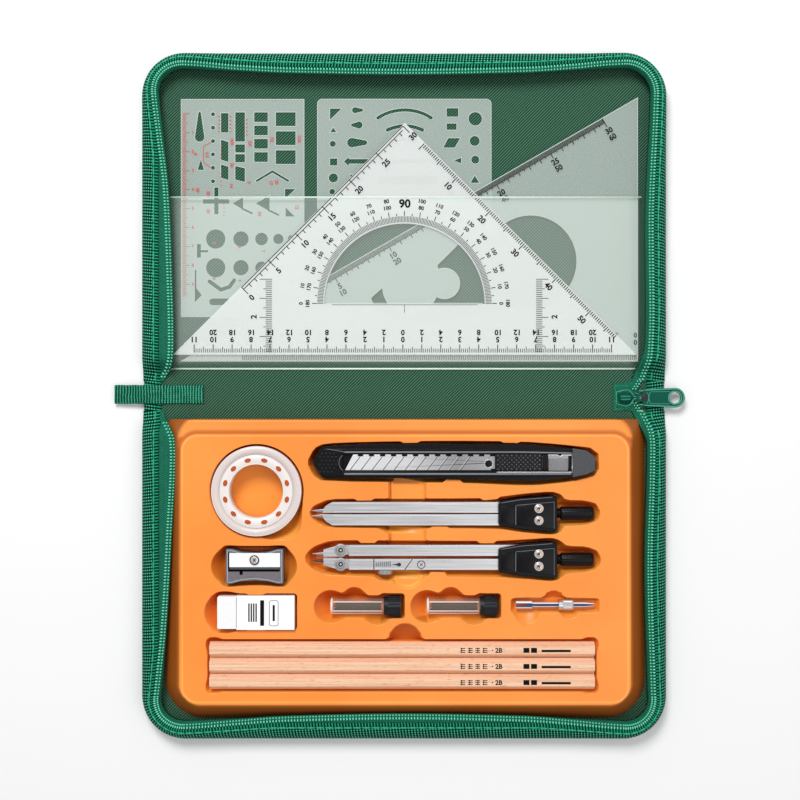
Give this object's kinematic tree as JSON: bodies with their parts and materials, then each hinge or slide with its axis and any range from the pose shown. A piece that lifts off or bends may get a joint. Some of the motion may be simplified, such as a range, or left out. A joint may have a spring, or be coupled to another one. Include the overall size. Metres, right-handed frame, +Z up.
{
  "type": "drafting instrument case",
  "caption": "Zipped fabric case lying open: lid with a clear pocket of set squares and stencils, base with a formed tray of drawing instruments.",
  "frame": {"origin": "centre of the spine's outside face, on the surface that the open case lies on", "axes": "+X along the spine towards the zip's puller, +Y from the spine to the lid's far edge, +Z up out of the open case"},
  "size_m": [0.2896, 0.347, 0.0191],
  "materials": {
    "cover_fabric": "woven polyester, matt",
    "lining_fabric": "twill polyester, matt",
    "board": "stiff fibre board",
    "zip_fabric": "herringbone tape with a nylon coil",
    "webbing": "grosgrain webbing",
    "slider_plastic": "coated zip slider",
    "pocket_film": "clear flexible vinyl",
    "tray_plastic": "thermoformed orange sheet, satin",
    "frosted_plastic": "frosted clear plastic",
    "tape_core": "white moulded plastic",
    "tape_film": "clear adhesive tape, wound",
    "black_plastic": "satin black",
    "grey_plastic": "satin dark grey",
    "satin_metal": "satin",
    "blade_steel": "ground",
    "screw_brass": "turned",
    "lead_black": "graphite",
    "eraser_rubber": "white vinyl",
    "card_sleeve": "coated card",
    "clear_tube": "clear tube",
    "pencil_wood": "bare wood, fine grain"
  },
  "bodies": {
    "base": {"base_cover": "cover_fabric", "base_board": "board", "base_lining": "lining_fabric", "base_gusset": "cover_fabric", "base_zip": "zip_fabric", "tray": "tray_plastic"},
    "spine": {"spine_cover": "cover_fabric", "spine_lining": "lining_fabric", "webbing_tab": "webbing", "zip_end_patch": "cover_fabric"},
    "lid": {"lid_cover": "cover_fabric", "lid_board": "board", "lid_lining": "lining_fabric", "lid_gusset": "cover_fabric", "lid_zip": "zip_fabric", "clear_pocket": "pocket_film"},
    "slider": {"zip_slider": "slider_plastic"},
    "puller": {"zip_puller": "slider_plastic"},
    "square_45": {"set_square_45": "frosted_plastic"},
    "square_30_60": {"set_square_30_60": "frosted_plastic"},
    "stencil_symbols": {"template_symbols": "frosted_plastic"},
    "stencil_shapes": {"template_shapes": "frosted_plastic"},
    "tape_roll": {"tape_spool": "tape_core", "tape_winding": "tape_film"},
    "knife": {"knife_body": "black_plastic", "knife_rail": "satin_metal", "knife_end_cap": "grey_plastic"},
    "blade_carrier": {"knife_blade": "blade_steel", "knife_slider": "black_plastic"},
    "divider": {"divider_head": "black_plastic", "divider_handle": "black_plastic", "divider_screws": "screw_brass"},
    "divider_arm_upper": {"divider_leg_upper": "satin_metal", "divider_point_upper": "satin_metal"},
    "divider_arm_lower": {"divider_leg_lower": "satin_metal", "divider_point_lower": "satin_metal"},
    "compass": {"compass_head": "black_plastic", "compass_handle": "black_plastic", "compass_screws": "screw_brass"},
    "compass_arm_upper": {"compass_leg_upper": "satin_metal"},
    "compass_arm_lower": {"compass_leg_lower": "satin_metal"},
    "compass_foot_upper": {"compass_knee_upper": "satin_metal", "compass_needle": "satin_metal"},
    "compass_foot_lower": {"compass_knee_lower": "satin_metal", "compass_lead": "lead_black"},
    "thumb_screw": {"compass_thumb_screw": "satin_metal"},
    "sharpener": {"sharpener_body": "black_plastic", "sharpener_blade": "blade_steel", "sharpener_screw": "satin_metal"},
    "eraser": {"eraser_block": "eraser_rubber"},
    "sleeve": {"eraser_sleeve": "card_sleeve"},
    "lead_box_left": {"lead_tube_left": "clear_tube"},
    "cap_left": {"lead_cap_left": "black_plastic"},
    "lead_box_right": {"lead_tube_right": "clear_tube"},
    "cap_right": {"lead_cap_right": "black_plastic"},
    "adaptor": {"adaptor_rod": "satin_metal"},
    "collar": {"adaptor_collar": "satin_metal"},
    "pencil_1": {"pencil_upper": "pencil_wood"},
    "pencil_2": {"pencil_middle": "pencil_wood"},
    "pencil_3": {"pencil_lower": "pencil_wood"}
  },
  "joints": [
    {"name": "spine_fold", "type": "hinge", "parent": "base", "child": "spine", "pos_m": [0, -0.0105, 0.002], "axis": [1, 0, 0], "range_deg": [0, 90]},
    {"name": "lid_fold", "type": "hinge", "parent": "spine", "child": "lid", "pos_m": [0, 0.0105, 0.002], "axis": [1, 0, 0], "range_deg": [0, 90]},
    {"name": "zip_slide", "type": "slide", "parent": "spine", "child": "slider", "axis": [1, 0, 0], "range_m": [0, 0.0165]},
    {"name": "puller_swing", "type": "hinge", "parent": "slider", "child": "puller", "pos_m": [0.1189, -0.0009, 0.0046], "axis": [0, 1, 0], "range_deg": [-140, 0]},
    {"name": "square_45_slide", "type": "slide", "parent": "lid", "child": "square_45", "axis": [0, -1, 0], "range_m": [-0.025, 0]},
    {"name": "square_30_60_slide", "type": "slide", "parent": "lid", "child": "square_30_60", "axis": [0, -1, 0], "range_m": [-0.014, 0]},
    {"name": "stencil_symbols_slide", "type": "slide", "parent": "lid", "child": "stencil_symbols", "axis": [0, -1, 0], "range_m": [-0.015, 0]},
    {"name": "stencil_shapes_slide", "type": "slide", "parent": "lid", "child": "stencil_shapes", "axis": [0, -1, 0], "range_m": [-0.015, 0]},
    {"name": "tape_lift", "type": "slide", "parent": "base", "child": "tape_roll", "axis": [0, 0, -1], "range_m": [-0.09, 0]},
    {"name": "knife_lift", "type": "slide", "parent": "base", "child": "knife", "axis": [0, 0, -1], "range_m": [-0.05, 0]},
    {"name": "blade_slide", "type": "slide", "parent": "knife", "child": "blade_carrier", "axis": [1, 0, 0], "range_m": [-0.06, 0]},
    {"name": "divider_lift", "type": "slide", "parent": "base", "child": "divider", "axis": [0, 0, -1], "range_m": [-0.12, 0]},
    {"name": "compass_lift", "type": "slide", "parent": "base", "child": "compass", "axis": [0, 0, -1], "range_m": [-0.16, 0]},
    {"name": "divider_upper_open", "type": "hinge", "parent": "divider", "child": "divider_arm_upper", "pos_m": [0.0674, -0.0566, 0.0134], "axis": [0, 0, 1], "range_deg": [-12.01, 0]},
    {"name": "divider_lower_open", "type": "hinge", "parent": "divider", "child": "divider_arm_lower", "pos_m": [0.0674, -0.0626, 0.0134], "axis": [0, 0, -1], "range_deg": [-12.01, 0]},
    {"name": "compass_upper_open", "type": "hinge", "parent": "compass", "child": "compass_arm_upper", "pos_m": [0.0674, -0.0793, 0.0134], "axis": [0, 0, 1], "range_deg": [-16.01, 0]},
    {"name": "compass_lower_open", "type": "hinge", "parent": "compass", "child": "compass_arm_lower", "pos_m": [0.0674, -0.0855, 0.0134], "axis": [0, 0, -1], "range_deg": [-16.01, 0]},
    {"name": "compass_upper_knee", "type": "hinge", "parent": "compass_arm_upper", "child": "compass_foot_upper", "pos_m": [-0.0318, -0.0774, 0.0122], "axis": [0, 0, -1], "range_deg": [-16.01, 0]},
    {"name": "compass_lower_knee", "type": "hinge", "parent": "compass_arm_lower", "child": "compass_foot_lower", "pos_m": [-0.0318, -0.0844, 0.0122], "axis": [0, 0, 1], "range_deg": [-16.01, 0]},
    {"name": "thumb_screw_turn", "type": "hinge", "parent": "compass_arm_lower", "child": "thumb_screw", "pos_m": [-0.0096, -0.086, 0.0134], "axis": [0, 1, 0], "continuous": true},
    {"name": "sharpener_lift", "type": "slide", "parent": "base", "child": "sharpener", "axis": [0, 0, -1], "range_m": [-0.04, 0]},
    {"name": "eraser_lift", "type": "slide", "parent": "base", "child": "eraser", "axis": [0, 0, -1], "range_m": [-0.04, 0]},
    {"name": "sleeve_slide", "type": "slide", "parent": "eraser", "child": "sleeve", "axis": [1, 0, 0], "range_m": [-0.008, 0]},
    {"name": "lead_box_left_lift", "type": "slide", "parent": "base", "child": "lead_box_left", "axis": [0, 0, -1], "range_m": [-0.06, 0]},
    {"name": "cap_left_pull", "type": "slide", "parent": "lead_box_left", "child": "cap_left", "axis": [-1, 0, 0], "range_m": [-0.0072, 0]},
    {"name": "lead_box_right_lift", "type": "slide", "parent": "base", "child": "lead_box_right", "axis": [0, 0, -1], "range_m": [-0.06, 0]},
    {"name": "cap_right_pull", "type": "slide", "parent": "lead_box_right", "child": "cap_right", "axis": [-1, 0, 0], "range_m": [-0.0072, 0]},
    {"name": "adaptor_lift", "type": "slide", "parent": "base", "child": "adaptor", "axis": [0, 0, -1], "range_m": [-0.04, 0]},
    {"name": "collar_turn", "type": "hinge", "parent": "adaptor", "child": "collar", "pos_m": [0.081, -0.1048, 0.0146], "axis": [1, 0, 0], "continuous": true},
    {"name": "pencil_1_lift", "type": "slide", "parent": "base", "child": "pencil_1", "axis": [0, 0, -1], "range_m": [-0.05, 0]},
    {"name": "pencil_2_lift", "type": "slide", "parent": "base", "child": "pencil_2", "axis": [0, 0, -1], "range_m": [-0.05, 0]},
    {"name": "pencil_3_lift", "type": "slide", "parent": "base", "child": "pencil_3", "axis": [0, 0, -1], "range_m": [-0.05, 0]}
  ],
  "couplings": [
    {"joint": "lid_fold", "follows": "spine_fold", "ratio": 1},
    {"joint": "zip_slide", "follows": "spine_fold", "m_per_rad": 0.0105},
    {"joint": "divider_upper_open", "follows": "divider_lift", "rad_per_m": 1.7453},
    {"joint": "divider_lower_open", "follows": "divider_lift", "rad_per_m": 1.7453},
    {"joint": "compass_upper_open", "follows": "compass_lift", "rad_per_m": 1.7453},
    {"joint": "compass_lower_open", "follows": "compass_lift", "rad_per_m": 1.7453},
    {"joint": "compass_upper_knee", "follows": "compass_lift", "rad_per_m": 1.7453},
    {"joint": "compass_lower_knee", "follows": "compass_lift", "rad_per_m": 1.7453},
    {"joint": "cap_left_pull", "follows": "lead_box_left_lift", "ratio": 0.12},
    {"joint": "cap_right_pull", "follows": "lead_box_right_lift", "ratio": 0.12}
  ]
}
